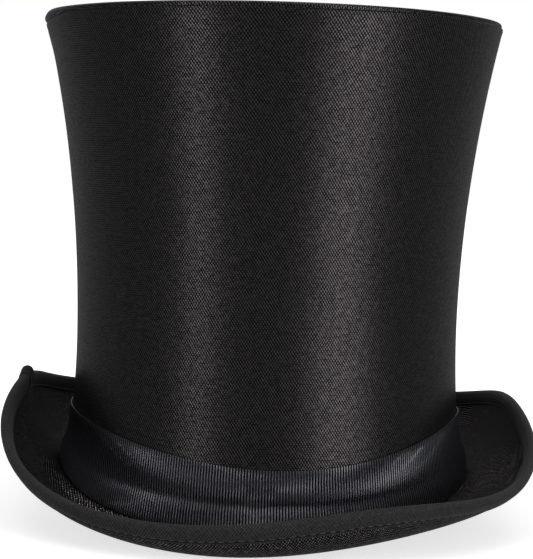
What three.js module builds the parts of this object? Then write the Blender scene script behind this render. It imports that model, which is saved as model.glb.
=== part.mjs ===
// A tall satin top hat with a flared crown, a ribbed band and a bound, curled brim.
// Millimetres, +Z up. The front of the hat faces -Y and the wearer's left is +X.
// Heights in this file start at the band's lower edge at the sides; the group at the end
// moves the finished hat so that it stands on Z = 0 with its box centred on the Z axis.
import * as THREE from 'three';
import { mergeVertices } from 'three/addons/utils/BufferGeometryUtils.js';

// ---- driving dimensions ----------------------------------------------------------------
const SIDES = 44; // facets around the hat
const GAP = 0.3; // air between two pieces that touch in the real hat
const OVAL_EXTRA = 12; // how much longer than wide each half of the head oval is

// crown, as half widths of the oval across the head
const CROWN_TOP = 201.3;
const WAIST_HEIGHT = 58;
const WAIST_HALF = 86.5;
const TOP_FLARE = 17; // half width gained from the waist to the top
const BASE_FLARE = 4.5; // half width gained from the waist down to the brim
const BASE_HEIGHT = -2.6; // the joint of crown and brim at the sides
const BASE_DIP = 13; // how much lower that joint lies at the front and the back
const BASE_TWIST = 12; // degrees by which those dips are turned on the oval of the head
const CROWN_LEVELS = [0.12, 0.36, 0.58, 0.76, 0.9]; // shared rows of the crown wall

// layers of the crown wall, each measured inwards from the satin's face
const COVER = 0.5;
const STIFFENER = 1.4;
const STIFFENER_IN = COVER + GAP;
const INNER_LAYER_IN = STIFFENER_IN + STIFFENER + GAP;
const LINING = 0.5;
const COLLAR = 0.7;
const BRIM_EDGE_IN = 3.3; // the brim's head opening lies this far inside the satin's face
const SWEATBAND_IN = BRIM_EDGE_IN + GAP;
const SWEATBAND = 1.0;

const WALL_CLEAR = 0.6; // the wall stands this far above the brim's upper face
const COLLAR_HEIGHT = 18;
const SWEATBAND_FOOT = -0.3;
const SWEATBAND_HEIGHT = 33;
const REED_R = 0.7;

// crown tip
const TIP_CORNER = 4; // roundness of the tip's edge
const TIP_TURN_DOWN = 5; // how far the tip's satin comes down over the wall
const SIDE_COVER_TOP = CROWN_TOP - 6;
const STIFFENER_TOP = CROWN_TOP - 4.2;
const TIP_BOARD = 1.4;
const THREAD = 0.4;

// brim, as a sheet that curls up: its slope runs from the first angle to the second
const ROOT_HALF = 91.4;
const BRIM_TWIST = 7.8; // the curl is turned this many degrees on the oval of the head
const SIDE = { width: 44.3, start: 28.3, end: 98.5, curl: 1.1 };
const FRONT = { width: 44.1, start: -14.6, end: 93.4, curl: 2.3 };
const BACK = { width: 48, start: 0.2, end: 87.4, curl: 1.0 };
const CURL_SHARPNESS = 3.9; // how quickly the side's curl gives way to front and back
const END_BLEND = 0.3; // front gives way to back over this much of the sine, either way
// The hand-shaped brim isn't even. LEFT is what the wearer's left side adds and the right side
// lacks, LEAN is the same for the two front quarters, and QUARTERS is what both of them add.
const LEFT = { width: -1.8, start: -7.9, end: -1.9, curl: 0 };
const LEAN = { base: 1.9, width: 2.3, start: 2.5, end: 7.2, curl: -0.6 };
const QUARTERS = { base: -3.5, width: 0, start: 13.8, end: -22.2, curl: 0 };
// two places where the brim has drooped, each an angle in degrees and a spread in radians
const DROOPS = [
  { at: -38, spread: 0.4, width: -0.5, start: 7.3, end: -29.7, curl: 0 },
  { at: -85, spread: 0.5, width: 1.4, start: -1.3, end: -5.7, curl: 0 },
];
const BRIM_KNOTS = [0, 0.2, 0.4, 0.58, 0.74, 0.87, 0.94, 1]; // shared rows of the brim
const BRIM_HEM = 0.87; // the binding covers the brim from here to the edge
const BRIM_STEPS = 120; // steps in which a brim line is added up
const BRIM_COVER = 0.45;
const BRIM_CORE = 1.2;
const BRIM_HALF = BRIM_CORE / 2 + GAP + BRIM_COVER; // middle surface to either face
const EDGE_WIRE_R = 0.7;
const BRIM_SHORT = 2.1; // the brim's sheets stop this far inside the edge, at the wire
const BINDING = 0.6;
const BINDING_TIP = 1.2; // the binding's fold reaches this far past the edge

// hat band
const BAND_TOP = 26.4; // height of the band's top edge at the sides
const BAND_TOP_DIP = 15; // how much lower it lies at the front and the back
const BAND_TOP_LEAN = -2.2; // how much higher it lies at the wearer's left front quarter
const BAND_REACH = 2.5; // the band's foot lies this far out on the brim
const BAND_CLEAR = 0.9; // and this far above it
const BAND = 0.8;
const BAND_OFF_TOP = 0.4; // how far the band stands off the crown at its top edge
const BAND_OFF_FOOT = 2.1; // and at its flared foot

// joins, each as wide as one facet, so that they lie flat on the pieces they join. An angle
// of 0 degrees is the wearer's left and 90 the back.
const FACET = 360 / SIDES;
const BINDING_JOIN_AT = 22 * FACET;
const BACK_JOIN_AT = 11 * FACET;

// ---- materials -------------------------------------------------------------------------
const fabric = (color, roughness) => new THREE.MeshStandardMaterial({ color, roughness, metalness: 0 });
const satin = fabric(0x17151a, 0.35);
const ribbon = fabric(0x1b1c21, 0.5);
const bindingCloth = fabric(0x121214, 0.85);
const buckram = fabric(0x2b2927, 0.95);
const board = fabric(0x3a3632, 0.9);
const liningCloth = fabric(0x111114, 0.45);
const sweatCloth = fabric(0x19191b, 0.8);
const threadBlack = fabric(0x0c0c0e, 0.7);
const reedPlastic = fabric(0x202022, 0.4);
const wire = new THREE.MeshStandardMaterial({ color: 0x8b8d90, roughness: 0.35, metalness: 1 });

// ---- shape of the hat ------------------------------------------------------------------
const rad = THREE.MathUtils.degToRad;
const mix = THREE.MathUtils.lerp;

// nearness to the front quarters: lean is 1 at the left one and -1 at the right one, and both
// is 1 at each of them
function quarters(a) {
  const front = Math.max(0, -Math.sin(a)) ** 2;
  return { lean: 2.6 * Math.cos(a) * front, both: 4 * Math.cos(a) ** 2 * front };
}

function baseHeight(a) {
  const { lean, both } = quarters(a);
  return BASE_HEIGHT - BASE_DIP * Math.sin(a - rad(BASE_TWIST)) ** 2
    + LEAN.base * lean + QUARTERS.base * both;
}

// half width of the crown's satin at a height, at the angle a around the hat
function crownHalf(a, z) {
  if (z > WAIST_HEIGHT) {
    return WAIST_HALF + TOP_FLARE * ((z - WAIST_HEIGHT) / (CROWN_TOP - WAIST_HEIGHT)) ** 2;
  }
  return WAIST_HALF + BASE_FLARE * ((WAIST_HEIGHT - z) / (WAIST_HEIGHT - baseHeight(a))) ** 2;
}

const onOval = (a, half, z) => new THREE.Vector3(half * Math.cos(a), (half + OVAL_EXTRA) * Math.sin(a), z);
const onWall = (a, z, inset) => onOval(a, crownHalf(a, z) - inset, z);

// a hill of height 1 around an angle in degrees, with its spread in radians
function near(a, at, spread) {
  const gap = Math.atan2(Math.sin(a - rad(at)), Math.cos(a - rad(at)));
  return Math.exp(-((gap / spread) ** 2));
}

// width, slopes and curl of the brim at an angle around the hat
function brimShape(a) {
  const back = THREE.MathUtils.smoothstep(Math.sin(a), -END_BLEND, END_BLEND);
  const side = (Math.cos(a - rad(BRIM_TWIST)) ** 2) ** CURL_SHARPNESS;
  const { lean, both } = quarters(a);
  const blend = (key) => mix(mix(FRONT[key], BACK[key], back), SIDE[key], side)
    + LEFT[key] * Math.cos(a) + LEAN[key] * lean + QUARTERS[key] * both
    + DROOPS.reduce((sum, droop) => sum + droop[key] * near(a, droop.at, droop.spread), 0);
  return { width: blend('width'), start: rad(blend('start')), finish: rad(blend('end')), curl: blend('curl') };
}

// the brim's middle surface along one line outwards from the root, as knots that all of the
// brim's layers share: distance s, position across and up, and slope
function brimLine(a) {
  const { width, start, finish, curl } = brimShape(a);
  const slopeAt = (u) => start + (finish - start) * u ** curl;
  const knots = [{
    s: -BRIM_EDGE_IN,
    out: -BRIM_EDGE_IN * Math.cos(start),
    up: -BRIM_EDGE_IN * Math.sin(start),
    slope: start,
  }];
  let out = 0;
  let up = 0;
  for (let i = 0; i <= BRIM_STEPS; i += 1) {
    const u = i / BRIM_STEPS;
    if (BRIM_KNOTS.some((knot) => Math.abs(knot - u) < 0.5 / BRIM_STEPS)) {
      knots.push({ s: width * u, out, up, slope: slopeAt(u) });
    }
    const middle = slopeAt(u + 0.5 / BRIM_STEPS);
    out += (Math.cos(middle) * width) / BRIM_STEPS;
    up += (Math.sin(middle) * width) / BRIM_STEPS;
  }
  return { knots, width };
}

// a point on a brim line, s out from the root and lifted off the middle surface
function onBrim(a, line, s, lift) {
  const { knots } = line;
  let i = knots.findIndex((knot) => knot.s >= s);
  if (i === -1) i = knots.length - 1;
  if (i === 0) i = 1;
  const [from, to] = [knots[i - 1], knots[i]];
  const t = (s - from.s) / (to.s - from.s);
  const slope = mix(from.slope, to.slope, Math.min(t, 1));
  const out = mix(from.out, to.out, t) - lift * Math.sin(slope);
  const up = mix(from.up, to.up, t) + lift * Math.cos(slope);
  const root = onOval(a, ROOT_HALF, baseHeight(a) + up);
  const away = new THREE.Vector3(Math.cos(a) / ROOT_HALF, Math.sin(a) / (ROOT_HALF + OVAL_EXTRA), 0);
  return root.addScaledVector(away.normalize(), out);
}

// ---- building closed solids ------------------------------------------------------------
function signedVolume(position, index) {
  const [p, q, r] = [new THREE.Vector3(), new THREE.Vector3(), new THREE.Vector3()];
  let volume = 0;
  for (let i = 0; i < index.length; i += 3) {
    p.fromBufferAttribute(position, index[i]);
    q.fromBufferAttribute(position, index[i + 1]);
    r.fromBufferAttribute(position, index[i + 2]);
    volume += p.dot(q.cross(r));
  }
  return volume;
}

// A solid between sections that follow each other around the hat. sectionAt(angle) gives
// the points of its outer row and its inner row, as many of each. A full turn closes on
// itself, and an arc gets end faces. Points that meet on the axis are merged.
function loft(sectionAt, from = 0, arc = 360, steps = SIDES) {
  const turn = arc === 360;
  const sections = [];
  for (let i = 0; i <= steps - (turn ? 1 : 0); i += 1) {
    const { outer, inner } = sectionAt(rad(from + (arc * i) / steps));
    sections.push([...outer, ...inner.reverse()]);
  }
  const size = sections[0].length;
  const triangles = [];
  const quad = (p, q, r, s) => triangles.push(p, q, r, p, r, s);
  for (let i = 0; i < steps; i += 1) {
    const [here, next] = [i * size, ((i + 1) % sections.length) * size];
    for (let k = 0; k < size; k += 1) {
      const after = (k + 1) % size;
      const ring = [here + k, next + k, next + after, here + after];
      // the same diagonal on both faces, so that warped sheets laid together stay apart
      if (k < size / 2) quad(...ring);
      else quad(...ring.slice(1), ring[0]);
    }
  }
  if (!turn) {
    const last = (sections.length - 1) * size;
    for (let k = 0; k < size / 2 - 1; k += 1) {
      const far = size - 1 - k;
      quad(k, k + 1, far - 1, far);
      quad(last + far, last + far - 1, last + k + 1, last + k);
    }
  }
  let geometry = new THREE.BufferGeometry().setFromPoints(sections.flat()).setIndex(triangles);
  geometry = mergeVertices(geometry, 1e-4);
  const corners = Array.from(geometry.index.array);
  let kept = [];
  for (let i = 0; i < corners.length; i += 3) {
    const [p, q, r] = corners.slice(i, i + 3);
    if (p !== q && q !== r && r !== p) kept.push(p, q, r);
  }
  if (signedVolume(geometry.getAttribute('position'), kept) < 0) kept = kept.reverse();
  geometry.setIndex(kept);
  geometry.computeVertexNormals();
  return geometry;
}

const hat = new THREE.Group();
function add(name, material, geometry) {
  const mesh = new THREE.Mesh(geometry, material);
  mesh.name = name;
  hat.add(mesh);
}

// ---- crown wall ------------------------------------------------------------------------
// heights of a wall piece: its own two ends and the shared levels between them
function wallHeights(a, low, high) {
  const base = baseHeight(a);
  const levels = CROWN_LEVELS.map((level) => mix(base, CROWN_TOP, level));
  return [low, ...levels.filter((z) => z > low + 1 && z < high - 1), high];
}

function wallPiece(lowAt, highAt, inset, thickness) {
  return loft((a) => {
    const heights = wallHeights(a, lowAt(a), highAt(a));
    return {
      outer: heights.map((z) => onWall(a, z, inset)),
      inner: heights.map((z) => onWall(a, z, inset + thickness)),
    };
  });
}

const footOf = (height) => (a) => baseHeight(a) + height;
function wallFoot(a) {
  const { start } = brimShape(a);
  const rise = Math.max(0, -Math.tan(start)) * BRIM_EDGE_IN; // where the brim falls outwards
  return baseHeight(a) + BRIM_HALF / Math.cos(start) + rise + WALL_CLEAR;
}
const level = (z) => () => z;

add('crown_side_cover', satin, wallPiece(wallFoot, level(SIDE_COVER_TOP), 0, COVER));
add('crown_side_stiffener', buckram,
  wallPiece(wallFoot, level(STIFFENER_TOP), STIFFENER_IN, STIFFENER));
add('crown_side_lining', liningCloth,
  wallPiece(footOf(COLLAR_HEIGHT + 1), level(CROWN_TOP - 5.1), INNER_LAYER_IN, LINING));
add('brim_collar', buckram,
  wallPiece(wallFoot, footOf(COLLAR_HEIGHT), INNER_LAYER_IN, COLLAR));

// ---- crown tip -------------------------------------------------------------------------
// A lid from the axis to the wall and down over it. Each point is its distance in from the
// satin's face at the top of the crown and its depth below the top.
function tipPiece(outerPoints, innerPoints) {
  const place = (a) => ([inset, depth]) => (inset === null
    ? new THREE.Vector3(0, 0, CROWN_TOP - depth)
    : onWall(a, CROWN_TOP - depth, inset));
  return loft((a) => ({ outer: outerPoints.map(place(a)), inner: innerPoints.map(place(a)) }));
}
const AXIS = null;
const CORNER_CUT = 0.3 * TIP_CORNER; // inset of the middle of the rounded corner

add('crown_tip_cover', satin, tipPiece(
  [[AXIS, 0], [TIP_CORNER, 0], [CORNER_CUT, CORNER_CUT], [0, TIP_CORNER], [0, TIP_TURN_DOWN]],
  [[AXIS, COVER], [TIP_CORNER, COVER], [CORNER_CUT + 0.4, CORNER_CUT + 0.4],
    [COVER, TIP_CORNER], [COVER, TIP_TURN_DOWN]],
));
add('crown_tip_stiffener', board, tipPiece(
  [[AXIS, STIFFENER_IN], [TIP_CORNER, STIFFENER_IN], [CORNER_CUT + 0.9, CORNER_CUT + 0.9],
    [STIFFENER_IN + 0.4, 3.9]],
  [[AXIS, STIFFENER_IN + TIP_BOARD], [TIP_CORNER + 1, STIFFENER_IN + TIP_BOARD],
    [CORNER_CUT + 2.4, STIFFENER_IN + TIP_BOARD + 0.5], [STIFFENER_IN + 2, 3.9]],
));
add('crown_tip_lining', liningCloth, tipPiece(
  [[AXIS, 4.2], [STIFFENER_IN + STIFFENER, 4.5]],
  [[AXIS, 4.2 + LINING], [STIFFENER_IN + STIFFENER, 4.5 + LINING]],
));

// ---- cords and threads, square in section, that run around the hat -----------------------
function wallThread(heightAt, inset, size) {
  return loft((a) => {
    const z = heightAt(a);
    return {
      outer: [onWall(a, z, inset), onWall(a, z + size, inset)],
      inner: [onWall(a, z, inset + size), onWall(a, z + size, inset + size)],
    };
  });
}

add('tip_seam_thread', threadBlack, wallThread(level(CROWN_TOP - 5.7), 0.05, THREAD));
add('sweatband_thread', threadBlack, wallThread(footOf(5), SWEATBAND_IN + SWEATBAND + GAP, THREAD));

// ---- sweatband -------------------------------------------------------------------------
add('sweatband', sweatCloth,
  wallPiece(footOf(SWEATBAND_FOOT), footOf(SWEATBAND_HEIGHT), SWEATBAND_IN, SWEATBAND));
add('sweatband_reed', reedPlastic, loft((a) => {
  const z = baseHeight(a) + SWEATBAND_FOOT - GAP - REED_R;
  const middle = SWEATBAND_IN + SWEATBAND / 2;
  const corner = (degrees) => onWall(a, z + REED_R * Math.sin(rad(degrees)),
    middle - REED_R * Math.cos(rad(degrees)));
  return { outer: [corner(0), corner(60), corner(120)], inner: [corner(300), corner(240), corner(180)] };
}));
add('sweatband_join_tape', bindingCloth, loft((a) => {
  const inset = SWEATBAND_IN + SWEATBAND + GAP;
  const heights = [baseHeight(a) + 7, baseHeight(a) + SWEATBAND_HEIGHT - 1];
  return {
    outer: heights.map((z) => onWall(a, z, inset)),
    inner: heights.map((z) => onWall(a, z, inset + 0.7)),
  };
}, BACK_JOIN_AT, FACET, 1));

// ---- hat band --------------------------------------------------------------------------
const BAND_ROWS = [0, 0.3, 0.65, 1];

function bandTop(a) {
  return BAND_TOP - BAND_TOP_DIP * Math.sin(a) ** 2 + BAND_TOP_LEAN * quarters(a).lean;
}

function bandFoot(a) {
  const { start } = brimShape(a);
  return baseHeight(a) + BRIM_HALF / Math.cos(start) + BAND_REACH * Math.tan(start) + BAND_CLEAR;
}

function bandSection(a, lift, thickness, rows = BAND_ROWS) {
  const place = (row, extra) => {
    const off = mix(BAND_OFF_FOOT, BAND_OFF_TOP, 1 - (1 - row) ** 2);
    return onWall(a, mix(bandFoot(a), bandTop(a), row), -(off + lift + extra));
  };
  return { outer: rows.map((row) => place(row, thickness)), inner: rows.map((row) => place(row, 0)) };
}

add('hat_band', ribbon, loft((a) => bandSection(a, 0, BAND)));
add('hat_band_lap', ribbon,
  loft((a) => bandSection(a, BAND + GAP, BAND, [0.03, 0.3, 0.65, 0.98]), BACK_JOIN_AT, FACET, 1));
add('hat_band_tack', threadBlack,
  loft((a) => bandSection(a, 2 * (BAND + GAP), THREAD, [0.06, 0.5, 0.95]), BACK_JOIN_AT + 0.5, 0.4, 1));

// ---- brim ------------------------------------------------------------------------------
// a sheet of the brim between two lifts off the middle surface, from the head opening to
// just inside the edge
function brimSheet(top, bottom) {
  return loft((a) => {
    const line = brimLine(a);
    const stops = line.knots.map((knot) => Math.min(knot.s, line.width - BRIM_SHORT));
    return {
      outer: stops.map((s) => onBrim(a, line, s, top)),
      inner: stops.map((s) => onBrim(a, line, s, bottom)),
    };
  });
}
add('brim_core', buckram, brimSheet(BRIM_CORE / 2, -BRIM_CORE / 2));
add('brim_upper_cover', satin, brimSheet(BRIM_HALF, BRIM_HALF - BRIM_COVER));
add('brim_under_cover', satin, brimSheet(-BRIM_HALF + BRIM_COVER, -BRIM_HALF));

add('brim_edge_wire', wire, loft((a) => {
  const line = brimLine(a);
  const middle = line.width - BRIM_SHORT + GAP + EDGE_WIRE_R;
  const corner = (degrees) => onBrim(a, line, middle + EDGE_WIRE_R * Math.cos(rad(degrees)),
    EDGE_WIRE_R * Math.sin(rad(degrees)));
  return { outer: [corner(0), corner(60), corner(120)], inner: [corner(300), corner(240), corner(180)] };
}));

// the binding's cross-section, from its hem on the upper side around the fold to its hem
// on the under side, swollen by extra where one end laps over the other
function bindingSection(a, extra, thickness) {
  const line = brimLine(a);
  const face = BRIM_HALF + GAP + extra;
  const row = (grow) => {
    const lift = face + grow;
    const tip = line.width + BINDING_TIP - BINDING + grow + extra;
    return [
      [line.width * BRIM_HEM, lift], [line.width * 0.94, lift], [tip - 0.6 * lift, 0.8 * lift], [tip, 0],
      [tip - 0.6 * lift, -0.8 * lift], [line.width * 0.94, -lift], [line.width * BRIM_HEM, -lift],
    ].map(([s, up]) => onBrim(a, line, s, up));
  };
  return { outer: row(thickness), inner: row(0) };
}
add('brim_binding', bindingCloth, loft((a) => bindingSection(a, 0, BINDING)));
add('brim_binding_join', bindingCloth,
  loft((a) => bindingSection(a, BINDING + GAP, BINDING), BINDING_JOIN_AT, FACET, 1));

// the two lines of stitching along the binding's hems, one on each face of the brim
const STITCH_FROM_HEM = 0.02;
function bindingThread(side) {
  const lift = BRIM_HALF + 2 * GAP + BINDING;
  return loft((a) => {
    const line = brimLine(a);
    const s = line.width * (BRIM_HEM + STITCH_FROM_HEM);
    const place = (along, up) => onBrim(a, line, s + along, side * up);
    return {
      outer: [place(0, lift + THREAD), place(THREAD, lift + THREAD)],
      inner: [place(0, lift), place(THREAD, lift)],
    };
  }, BINDING_JOIN_AT + FACET, 360 - FACET, SIDES - 1);
}
add('binding_thread_upper', threadBlack, bindingThread(1));
add('binding_thread_under', threadBlack, bindingThread(-1));

// ---- stand the hat on Z = 0, centred -----------------------------------------------------
const box = new THREE.Box3().setFromObject(hat);
const centre = box.getCenter(new THREE.Vector3());
hat.position.set(-centre.x, -centre.y, -box.min.z);

export default hat;
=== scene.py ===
"""A tall black satin top hat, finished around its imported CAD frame. Shapes are worked out in
millimetres in the hat's own frame, where heights start at the band's lower edge at the sides,
and are placed in metres in the row frame. An angle around the hat is 0 at the wearer's left
(+X), 90 degrees at the back and -90 at the front."""

import math

import bmesh
import bpy
import numpy as np
from mathutils import Matrix, Vector


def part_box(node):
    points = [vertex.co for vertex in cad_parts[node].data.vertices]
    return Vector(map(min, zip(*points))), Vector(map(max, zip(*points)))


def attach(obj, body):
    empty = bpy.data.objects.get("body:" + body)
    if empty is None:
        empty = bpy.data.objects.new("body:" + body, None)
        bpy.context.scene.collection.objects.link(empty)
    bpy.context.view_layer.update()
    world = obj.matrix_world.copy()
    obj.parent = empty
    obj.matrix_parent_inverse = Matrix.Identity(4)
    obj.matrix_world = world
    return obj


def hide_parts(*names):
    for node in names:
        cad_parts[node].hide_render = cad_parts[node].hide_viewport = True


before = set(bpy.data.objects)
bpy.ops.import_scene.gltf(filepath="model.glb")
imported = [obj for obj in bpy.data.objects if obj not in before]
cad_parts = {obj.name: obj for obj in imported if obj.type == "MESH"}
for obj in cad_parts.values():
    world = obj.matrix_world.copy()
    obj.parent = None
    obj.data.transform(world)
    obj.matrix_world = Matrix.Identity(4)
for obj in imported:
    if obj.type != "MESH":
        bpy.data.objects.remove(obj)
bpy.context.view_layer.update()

# ---- dimensions of the hat, in mm ------------------------------------------------------
MM = 0.001
OVAL_EXTRA = 12  # how much longer than wide each half of the head oval is
CROWN_TOP = 201.3
WAIST_HEIGHT = 58
WAIST_HALF = 86.5
TOP_FLARE = 17
BASE_FLARE = 4.5
BASE_HEIGHT = -2.6  # the joint of crown and brim at the sides
BASE_DIP = 13
BASE_TWIST = math.radians(12)
WALL_CLEAR = 0.6  # from the brim's upper face to the foot of the wall
CORNER = 4  # roundness of the tip's edge

COVER = 0.5
LINING_IN = 2.5
LINING = 0.5
LINING_FOOT = 19
LINING_TOP = CROWN_TOP - 5.1
SWEATBAND_IN = 3.6
SWEATBAND = 1.0
SWEATBAND_FOOT = -0.3
SWEATBAND_HEIGHT = 33

ROOT_HALF = 91.4
BRIM_INNER = 3.3
BRIM_TWIST = math.radians(7.8)  # the curl is turned this far on the oval of the head
SIDE = {"width": 44.3, "start": 28.3, "end": 98.5, "curl": 1.1}
FRONT = {"width": 44.1, "start": -14.6, "end": 93.4, "curl": 2.3}
BACK = {"width": 48, "start": 0.2, "end": 87.4, "curl": 1.0}
CURL_SHARPNESS = 3.9
END_BLEND = 0.3
# What the wearer's left side adds and the right side lacks, the same for the front quarters,
# and what both front quarters add.
LEFT = {"width": -1.8, "start": -7.9, "end": -1.9, "curl": 0}
LEAN = {"base": 1.9, "width": 2.3, "start": 2.5, "end": 7.2, "curl": -0.6}
QUARTERS = {"base": -3.5, "width": 0, "start": 13.8, "end": -22.2, "curl": 0}
# Two places where the brim has drooped, each an angle in degrees and a spread in radians.
DROOPS = [{"at": -38, "spread": 0.4, "width": -0.5, "start": 7.3, "end": -29.7},
          {"at": -85, "spread": 0.5, "width": 1.4, "start": -1.3, "end": -5.7}]
BRIM_HALF = 1.35  # middle surface of the brim to either face
BRIM_COVER = 0.45
BRIM_SHORT = 2.1
BINDING_HEM = 0.87  # the binding covers the brim's line from here to the edge
BINDING = 0.6
BINDING_TIP = 1.2
BINDING_WIDTH = 16  # of the tape, from hem to hem
STITCHES_IN = 0.97  # from the tape's hems to its stitches, as laid out on the flat tape
BINDING_OFF = 0.15  # air between the brim's satin and the binding
BINDING_STITCH_IN = 1.3  # from the hems to the stitches, along the brim

BAND_TOP = 26.4  # height of the band's top edge at the sides
BAND_TOP_DIP = 15
BAND_TOP_LEAN = -2.2
BAND_REACH = 2.5  # the band's foot lies this far out on the brim
BAND_CLEAR = 0.45  # and this far above it
BAND_WIDTH = 29  # on average
BAND = 0.8
BAND_OFF_TOP = 0.4
BAND_OFF_FOOT = 2.1
RIBS = 460
RIB_PITCH = 1.36

# Places around the hat, and how far around it a lapped end reaches, in radians.
BACK_SEAM_AT = math.radians(90)
BINDING_JOIN_AT = math.radians(187)
TIP_SEAM_LOW_AT = math.radians(182)
BAND_FRONT_AT = math.radians(-87)
PUCKERS_AT = math.radians(-130)
BINDING_LAP_TURN = 0.084
BACK_LAP_TURN = 0.142

tip_low, tip_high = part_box("crown_tip_cover")
ORIGIN = np.array([(tip_low.x + tip_high.x) / 2, (tip_low.y + tip_high.y) / 2,
                   tip_high.z - CROWN_TOP * MM])

# ---- small helpers for shapes ----------------------------------------------------------


def angles(count, start=0.0, turn=2 * math.pi, closed=True):
    """Columns around the hat, as a column vector."""
    return np.linspace(start, start + turn, count, endpoint=not closed)[:, None]


def seam_angles(count):
    """The columns of a closed piece and the first one again, to lay its cloth out flat."""
    return np.linspace(0, 2 * math.pi, count + 1)[:, None]


def bump(x, middle, width):
    """A smooth hill of height 1."""
    return np.exp(-((x - middle) / width) ** 2)


def near(a, middle, width):
    """A hill of height 1 around an angle, both in radians."""
    gap = np.angle(np.exp(1j * (a - middle)))
    return np.exp(-(gap / width) ** 2)


def smooth(x, low, high):
    t = np.clip((x - low) / (high - low), 0, 1)
    return t * t * (3 - 2 * t)


def ripple(a, v, seed, around, across, count=7):
    """Gentle unevenness from -1 to 1: waves up to so many around the hat and so many mm apart."""
    rng = np.random.default_rng(seed)
    total = 0
    for _ in range(count):
        turns = rng.integers(1, around + 1)
        total = total + rng.uniform(0.4, 1) * np.sin(
            turns * a + 2 * math.pi * v / (across * rng.uniform(0.8, 2.5)) + rng.uniform(0, 6.3))
    return total / count


def quarters(a):
    """Nearness to the front quarters: the first is 1 at the left one and -1 at the right one,
    and the second is 1 at each of them."""
    front = np.clip(-np.sin(a), 0, None) ** 2
    return 2.6 * np.cos(a) * front, 4 * np.cos(a) ** 2 * front


def base_height(a):
    """Height of the joint of crown and brim."""
    lean, both = quarters(a)
    dip = BASE_HEIGHT - BASE_DIP * np.sin(a - BASE_TWIST) ** 2
    return dip + LEAN["base"] * lean + QUARTERS["base"] * both


def brim_shape(a):
    """Width, first and last slope, and curl of the brim."""
    back = smooth(np.sin(a), -END_BLEND, END_BLEND)
    side = (np.cos(a - BRIM_TWIST) ** 2) ** CURL_SHARPNESS
    lean, both = quarters(a)

    def blend(key):
        end = FRONT[key] + (BACK[key] - FRONT[key]) * back
        uneven = LEFT[key] * np.cos(a) + LEAN[key] * lean + QUARTERS[key] * both
        for droop in DROOPS:
            uneven = uneven + droop.get(key, 0) * near(a, math.radians(droop["at"]), droop["spread"])
        return end + (SIDE[key] - end) * side + uneven

    return blend("width"), np.radians(blend("start")), np.radians(blend("end")), blend("curl")


def wall_foot(a):
    start = brim_shape(a)[1]
    rise = np.clip(-np.tan(start), 0, None) * BRIM_INNER
    return base_height(a) + BRIM_HALF / np.cos(start) + rise + WALL_CLEAR


def crown_half(a, z):
    """Half width of the crown's satin face at a height."""
    upper = TOP_FLARE * ((z - WAIST_HEIGHT) / (CROWN_TOP - WAIST_HEIGHT)) ** 2
    lower = BASE_FLARE * ((WAIST_HEIGHT - z) / (WAIST_HEIGHT - base_height(a))) ** 2
    return WAIST_HALF + np.where(z > WAIST_HEIGHT, upper, lower)


def on_oval(a, half, z):
    return np.stack([half * np.cos(a), (half + OVAL_EXTRA) * np.sin(a), z + 0 * (a + half)], -1)


def on_wall(a, z, inset):
    return on_oval(a, crown_half(a, z) - inset, z)


def around_oval(a, half):
    """Distance around an oval of this half width, near enough for laying out cloth."""
    return a * (half + OVAL_EXTRA / 2)


# ---- small helpers for meshes ----------------------------------------------------------
UV_UNIT = 100  # mm of cloth to one unit of its flat layout
SHARP_ANGLE = math.radians(48)


def solid(name, outer, inner, uv, closed=True, pole=False):
    """A closed cloth solid from two grids of points in mm, columns around by rows across. uv
    is a grid in mm over the cloth, with one more column than the points on a closed piece."""
    columns, rows = outer.shape[:2]
    ring = np.concatenate([outer, inner[:, ::-1]], axis=1)
    uv_ring = np.concatenate([uv, uv[:, ::-1]], axis=1)
    size = 2 * rows
    spans = columns if closed else columns - 1
    i, k = np.meshgrid(np.arange(spans), np.arange(size), indexing="ij")
    i1, k1 = (i + 1) % columns, (k + 1) % size
    quads = np.stack([i * size + k, i1 * size + k, i1 * size + k1, i * size + k1], -1).reshape(-1, 4)
    quad_uv = np.stack([uv_ring[i, k], uv_ring[i + 1, k], uv_ring[i + 1, k1], uv_ring[i, k1]], 2)
    quad_uv = quad_uv.reshape(-1, 4, 2)
    if not closed:
        ends, ends_uv = end_faces(columns, rows, uv_ring)
        quads, quad_uv = np.concatenate([quads, ends]), np.concatenate([quad_uv, ends_uv])
    points = ring.reshape(-1, 3)
    corner = points[quads]
    volume = np.einsum("ij,ij->i", corner[:, 0], np.cross(corner[:, 1], corner[:, 2])).sum()
    volume += np.einsum("ij,ij->i", corner[:, 0], np.cross(corner[:, 2], corner[:, 3])).sum()
    if volume < 0:
        quads, quad_uv = quads[:, ::-1], quad_uv[:, ::-1]
    return mesh_object(name, points, quads, quad_uv, pole)


def end_faces(columns, rows, uv_ring):
    """The faces that close the two ends of a piece that doesn't go all the way around."""
    size, k = 2 * rows, np.arange(rows - 1)
    last = (columns - 1) * size
    first = np.stack([k, k + 1, size - 2 - k, size - 1 - k], -1)
    back = np.stack([last + size - 1 - k, last + size - 2 - k, last + k + 1, last + k], -1)
    faces = np.concatenate([first, back])
    return faces, uv_ring[faces // size, faces % size]


def mesh_object(name, points, faces, face_uv, pole):
    mesh = bpy.data.meshes.new(name)
    mesh.from_pydata((points * MM + ORIGIN).tolist(), [], faces.tolist())
    layer = mesh.uv_layers.new(name="cloth")
    layer.data.foreach_set("uv", (face_uv.reshape(-1, 2) / UV_UNIT).ravel())
    if pole:
        work = bmesh.new()
        work.from_mesh(mesh)
        bmesh.ops.remove_doubles(work, verts=work.verts, dist=1e-6)
        work.to_mesh(mesh)
        work.free()
    mesh.polygons.foreach_set("use_smooth", [True] * len(mesh.polygons))
    mesh.set_sharp_from_angle(angle=SHARP_ANGLE)
    piece = bpy.data.objects.new(name, mesh)
    bpy.context.scene.collection.objects.link(piece)
    return piece


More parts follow.
